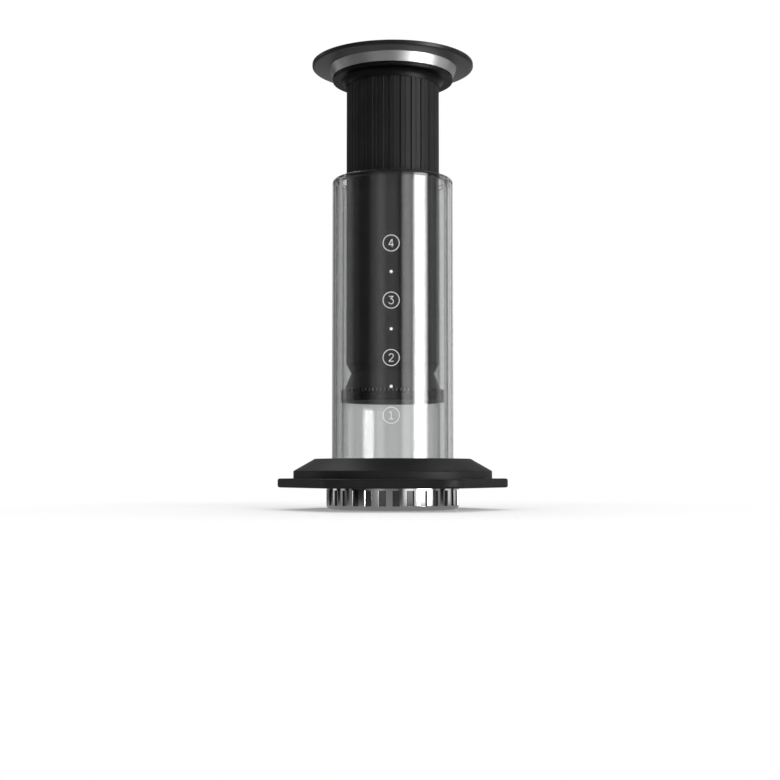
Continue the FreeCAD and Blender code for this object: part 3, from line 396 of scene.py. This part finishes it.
# A ring of upright panels round the studio, as gloss and glass see it: the azimuth of the middle,
# half the width and half the soft edge in degrees, and the radiance. Azimuth 0 is in front of the
# marks, and 90 is at +X.
PANELS = {
    "back": (181, 9, 4, 0.6),
    "back_right": (164, 3, 3, 0.97),
    "right_4": (149, 3.5, 1, 0.87),
    "right_3": (136, 5, 1, 0.51),
    "right_2": (111, 7.5, 4, 0.97),
    "right_1": (84, 5, 1.5, 0.39),
    "strip": (56, 12.3, 4, 9.3),
    "panel": (29, 7, 7, 1.4),
    "front": (-10, 19, 7.5, 0.24),
    "left_front": (-30, 10.5, 9.5, 0.24),
    "left_1": (-78, 2, 1, 0.23),
    "left_2": (-96, 5, 1.5, 0.57),
    "left_3": (-120, 6, 0.7, 1.1),
    "left_4": (-147, 4.5, 0.7, 0.18),
    "back_left": (-160, 4, 1, 0.48),
}
# Round panels that gloss sees above and below the ring, with the height of their middle in degrees
# after the azimuth.
ROUND_PANELS = {
    "overhead": (180, 68, 30, 14, 0.3),
    "over_left": (-169, 64, 16, 13, 2.6),
    "low_left": (-55, -33, 22, 14, 0.17),
}
# Radiance of the studio outside the panels, and the level that matte surfaces see all round
CEILING = 0.03
LOW_BACK = 0.05
GROUND = 0.03
GROUND_THROUGH_GLASS = 0.5
NADIR = 0.1
WORLD_FILL = 0.5


class Sky(Tree):
    """The world's nodes, with short calls for soft edges and panels."""

    def __init__(self, name):
        self.world = bpy.data.worlds.new(name)
        super().__init__(self.world)
        self.background = self.nodes["Background"]

    def step(self, value, start, end, low=0, high=1):
        """A smooth change from low to high as the value goes from start to end."""
        inputs = {"Value": value, "From Min": start, "From Max": end, "To Min": low, "To Max": high}
        made = self.node("ShaderNodeMapRange", inputs, interpolation_type="SMOOTHSTEP")
        return made.outputs["Result"]

    def panel(self, ray, azimuth, rise, half, edge, radiance):
        """The radiance near a direction: full within half less edge, none past half plus edge."""
        turn, up = math.radians(azimuth), math.radians(rise)
        level = math.cos(up)
        towards = (math.sin(turn) * level, -math.cos(turn) * level, math.sin(up))
        facing = self.node("ShaderNodeVectorMath", {0: ray, 1: towards}, operation="DOT_PRODUCT")
        outside = math.cos(math.radians(half + edge))
        inside = math.cos(math.radians(half - edge))
        return self.step(facing.outputs["Value"], outside, inside, 0, radiance)

    def blend(self, factor, a, b):
        """a where the factor is 0 and b where it is 1."""
        return self.node("ShaderNodeMix", {0: factor, 2: a, 3: b}, data_type="FLOAT").outputs[0]


def world():
    """White for the camera, the panels for gloss and glass, and one even level for the rest."""
    sky = Sky("studio")
    path = sky.node("ShaderNodeLightPath").outputs
    gloss, glass_ray = path["Is Glossy Ray"], path["Is Transmission Ray"]
    ray = sky.node("ShaderNodeTexCoord").outputs["Generated"]
    _, back, height = sky.split(ray)

    level = sky.vector("NORMALIZE", sky.vector("MULTIPLY", ray, FLAT))
    ring = 0.0
    for azimuth, half, edge, radiance in PANELS.values():
        ring = sky.maths("ADD", sky.panel(level, azimuth, 0, half, edge, radiance), ring)
    ring = sky.blend(sky.step(height, 0.25, 0.52), ring, CEILING)
    low_back = sky.maths("MULTIPLY", sky.step(height, -0.2, -0.38), sky.step(back, 0.2, 0.45))
    ring = sky.blend(low_back, ring, LOW_BACK)

    # Rays that the rim bends downwards see a dark ground. Those that have passed all eight
    # surfaces of the chamber's walls see it lighter, so that raised views stay clear.
    sunk = sky.maths("MULTIPLY", sky.step(height, -0.04, -0.16), glass_ray)
    ground = sky.step(path["Transmission Depth"], 6.5, 7.5, GROUND, GROUND_THROUGH_GLASS)
    ring = sky.blend(sunk, ring, ground)
    ring = sky.blend(sky.step(height, -0.58, -0.72), ring, NADIR)

    for azimuth, rise, half, edge, radiance in ROUND_PANELS.values():
        panel = sky.panel(ray, azimuth, rise, half, edge, radiance)
        ring = sky.maths("ADD", sky.blend(glass_ray, panel, 0.0), ring)

    seen = sky.blend(sky.maths("MAXIMUM", gloss, glass_ray), WORLD_FILL, ring)
    seen = sky.blend(path["Is Camera Ray"], seen, 1.0)
    sky.links.new(seen, sky.background.inputs["Color"])
    bpy.context.scene.world = sky.world


FLOOR_REACH = 4.0
FLOOR_DROP = 0.2 * MM      # keeps the floor clear of the cap's foot
FLOOR_WHITE = 0.8
FLOOR_LIFT = 0.23          # what the camera sees of the floor on top of its lit white
FLOOR_GLOSS = 0.3          # what gloss sees of the near floor
FLOOR_FADE = (0.14, 0.26)  # from the near floor to the far one


def floor():
    """A white floor that keeps the press's shadow; gloss and glass see through its far part."""
    mesh = bpy.data.meshes.new("floor")
    corners = [(-1, -1), (1, -1), (1, 1), (-1, 1)]
    points = [(x * FLOOR_REACH, y * FLOOR_REACH, -FLOOR_DROP) for x, y in corners]
    mesh.from_pydata(points, [], [(0, 1, 2, 3)])
    plane = bpy.data.objects.new("floor", mesh)
    bpy.context.collection.objects.link(plane)

    shader = Shader("floor_card", Specular_IOR_Level=0.0, Roughness=1.0)
    shader.main.inputs["Base Color"].default_value = grey(FLOOR_WHITE)
    shader.main.inputs["Emission Color"].default_value = grey(FLOOR_LIFT)
    path = shader.node("ShaderNodeLightPath").outputs
    gloss, glass_ray = path["Is Glossy Ray"], path["Is Transmission Ray"]
    camera_ray = path["Is Camera Ray"]
    shader.feed("Emission Strength", camera_ray)

    def mix(factor, a, b):
        return shader.node("ShaderNodeMixShader", {0: factor, 1: a, 2: b}).outputs[0]

    far = shader.between(shader.length(shader.place()), 0, 1, *FLOOR_FADE)
    white = shader.node("ShaderNodeEmission", {"Strength": 1.0}).outputs[0]
    dim = shader.node("ShaderNodeEmission", {"Strength": FLOOR_GLOSS}).outputs[0]
    clear = shader.node("ShaderNodeBsdfTransparent").outputs[0]
    underneath = shader.node("ShaderNodeNewGeometry").outputs["Backfacing"]
    away = shader.maths("MULTIPLY", far, shader.maths("MAXIMUM", gloss, glass_ray))
    card = mix(shader.maths("MULTIPLY", far, camera_ray), shader.main.outputs[0], white)
    card = mix(gloss, card, dim)
    card = mix(away, card, clear)
    card = mix(underneath, card, clear)
    shader.links.new(card, shader.nodes["Material Output"].inputs[0])
    mesh.materials.append(shader.material)


CAMERA_AT = (-0.00146, -0.73193, 0.02056)
CAMERA_PITCH = 3.426  # degrees above the level
CAMERA_LENS = 62.45
CAMERA_SENSOR = 36.0


def camera():
    """The photograph's view: level with the base, looking slightly up."""
    data = bpy.data.cameras.new("camera")
    data.sensor_width = CAMERA_SENSOR
    data.lens = CAMERA_LENS
    data.clip_start = 0.01
    data.clip_end = 20
    made = bpy.data.objects.new("camera", data)
    made.location = CAMERA_AT
    made.rotation_euler = (math.radians(90 + CAMERA_PITCH), 0, 0)
    bpy.context.collection.objects.link(made)
    bpy.context.scene.camera = made


# Looks of each node


DISC_EDGE = 2.1 * MM  # from the palm disc's top down to where its underside starts, which is painted paler for the light it catches
PALE_TUBE_DROP = 8 * MM    # the tube is paler from this far below the chamber's rim

# Where light or shade is painted into hollows, in millimetres: within a radius, between two heights;
# and the painted tone
TOOTH_GAP_PAINTED_LIGHT = (27.2, 62.3, 63.86, 0.45)
CAP_GROOVE_PAINTED_SHADE = (34.9, 2.3, 10.6, 0.16)


def dress():
    """Give each node of the model its material."""
    black_collar = anodised("anodised_collar", "turned", 0.003, 0.004, rough=(0.38, 0.44),
                            specular=0.15)
    # Painted light: the palm disc's underside is coloured paler than its top, for the light it
    # catches.
    black_disc = anodised("anodised_disc", "turned", 0.009, 0.012, rough=(0.29, 0.35),
                          specular=0.31, below=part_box("palm_disc")[1].z - DISC_EDGE, tone_below=0.056)
    black_drawn = anodised("anodised_drawn", "drawn",
                           below=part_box("chamber_glass")[1].z - PALE_TUBE_DROP)
    base = moulded("base_plastic", 0.010, 0.014, specular=0.28)
    carrier = moulded("carrier_plastic", 0.024, 0.030, rough=(0.38, 0.46), grain=0.12)
    soft = rubber("silicone", 0.005, 0.008)
    # Painted light: the gaps between the seal's teeth are coloured mid grey for the light seen in
    # them; the rubber itself is near black.
    toothed = rubber("seal_silicone", 0.003, 0.006, specular=0.12, painted_hollow=TOOTH_GAP_PAINTED_LIGHT)
    pad = rubber("pad_silicone", 0.016, 0.024)
    trim = metal("turned_aluminium", (0.55, 0.55, 0.56), (0.58, 0.58, 0.59), (0.42, 0.46),
                 grain=0.02, anisotropic=0.4)
    # Painted shade: the hollows between the filter cap's ribs are coloured dark grey, against the
    # steel's pale grey.
    steel = metal("polished_steel", (0.56, 0.56, 0.57), (0.64, 0.64, 0.65), (0.08, 0.14),
                  grain=0.05, painted_hollow=CAP_GROOVE_PAINTED_SHADE)
    screw = metal("screw_steel", (0.42, 0.42, 0.43), (0.5, 0.5, 0.51), (0.25, 0.35))
    wear = {
        "plunger_tube": black_drawn,
        "neck_collar": black_collar,
        "palm_disc": black_disc,
        "trim_ring": trim,
        "top_inlay": pad,
        "palm_screws": screw,
        "base_screws": screw,
        "seal_carrier": carrier,
        "plunger_seal": toothed,
        "carrier_ring": soft,
        "hub_seal": soft,
        "wall_seal": soft,
        "foot_seal": soft,
        "spigot_gasket": soft,
        "spigot": base,
        "base_hub": base,
        "base_plate": base,
        "filter_cap": steel,
        "filter_disc": paper("filter_paper"),
        "level_marks": enamel("enamel"),
    }
    for name, material in wear.items():
        for place in frame["nodes"][name].material_slots:
            place.material = material


def build():
    """Dress the nodes, put the smooth glass in the place of the faceted one, and set the stage."""
    dress()
    walls = chamber_glass()
    walls.data.materials.append(glass("clear_glass_walls"))
    walls.visible_shadow = False
    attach(walls, "chamber")
    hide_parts("chamber_glass")

    world()
    floor()
    camera()
    softbox("key", azimuth=40, distance=1.6, height=0.9, radiance=2.5)
    softbox("fill", azimuth=-45, distance=1.6, height=0.7, radiance=1.1)
    softbox("top", azimuth=180, distance=0.3, height=2.0, radiance=2.6)
    bpy.context.scene.view_settings.view_transform = "Standard"


build()
